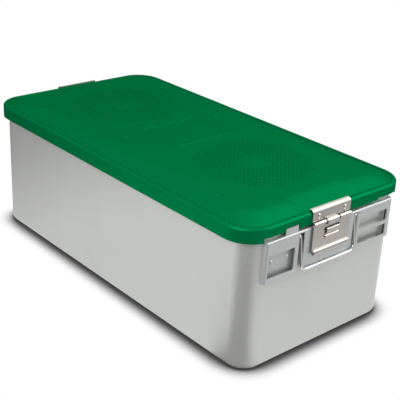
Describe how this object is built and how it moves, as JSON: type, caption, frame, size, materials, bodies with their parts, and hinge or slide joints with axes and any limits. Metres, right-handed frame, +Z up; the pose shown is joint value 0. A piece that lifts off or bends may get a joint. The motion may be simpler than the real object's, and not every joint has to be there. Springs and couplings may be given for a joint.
{
  "type": "sterilization container",
  "caption": "Rectangular aluminium instrument sterilization container with a perforated lift-off lid, end latches and wire carrying handles.",
  "frame": {"origin": "middle of the base, on the surface that it stands on", "axes": "+X along the length, towards the end seen in the picture; +Z up"},
  "size_m": [0.6114, 0.304, 0.213],
  "materials": {
    "tub": "satin anodised",
    "bracket": "satin anodised",
    "lid": "green anodised, satin",
    "stainless": "brushed stainless",
    "wire": "polished stainless",
    "rivet": "polished",
    "label_plate": "satin, blank",
    "silicone": "translucent grey silicone",
    "filter": "non-woven",
    "retainer": "satin"
  },
  "bodies": {
    "container": {"tub": "tub", "end_bracket_a": "bracket", "end_bracket_b": "bracket", "catch_a": "stainless", "catch_b": "stainless", "id_plate_a": "label_plate", "id_plate_b": "label_plate", "id_rivets_a": "rivet", "id_rivets_b": "rivet"},
    "lid": {"lid_shell": "lid", "lid_gasket": "silicone", "latch_plate_a": "stainless", "latch_plate_b": "stainless", "latch_rivets_a": "rivet", "latch_rivets_b": "rivet", "hinge_pin_a": "wire", "hinge_pin_b": "wire", "filter_stud_a": "wire", "filter_stud_b": "wire", "filter_sheet_a": "filter", "filter_sheet_b": "filter"},
    "bail_a": {"bail_a": "wire"},
    "latch_flap_a": {"latch_flap_a": "stainless"},
    "filter_retainer_a": {"filter_retainer_a": "retainer"},
    "bail_b": {"bail_b": "wire"},
    "latch_flap_b": {"latch_flap_b": "stainless"},
    "filter_retainer_b": {"filter_retainer_b": "retainer"}
  },
  "joints": [
    {"name": "lid_lift", "type": "slide", "parent": "container", "child": "lid", "axis": [0, 0, 1], "range_m": [0, 0.24]},
    {"name": "bail_a_turn", "type": "hinge", "parent": "container", "child": "bail_a", "pos_m": [0.2952, -0.006, 0.1774], "axis": [0, -1, 0], "range_deg": [0, 90]},
    {"name": "latch_flap_a_turn", "type": "hinge", "parent": "lid", "child": "latch_flap_a", "pos_m": [0.3012, -0.006, 0.1882], "axis": [0, -1, 0], "range_deg": [0, 120]},
    {"name": "filter_retainer_a_pull", "type": "slide", "parent": "lid", "child": "filter_retainer_a", "axis": [0, 0, -1], "range_m": [0, 0.02]},
    {"name": "bail_b_turn", "type": "hinge", "parent": "container", "child": "bail_b", "pos_m": [-0.2952, 0.006, 0.1774], "axis": [0, 1, 0], "range_deg": [0, 90]},
    {"name": "latch_flap_b_turn", "type": "hinge", "parent": "lid", "child": "latch_flap_b", "pos_m": [-0.3012, 0.006, 0.1882], "axis": [0, 1, 0], "range_deg": [0, 120]},
    {"name": "filter_retainer_b_pull", "type": "slide", "parent": "lid", "child": "filter_retainer_b", "axis": [0, 0, -1], "range_m": [0, 0.02]}
  ]
}
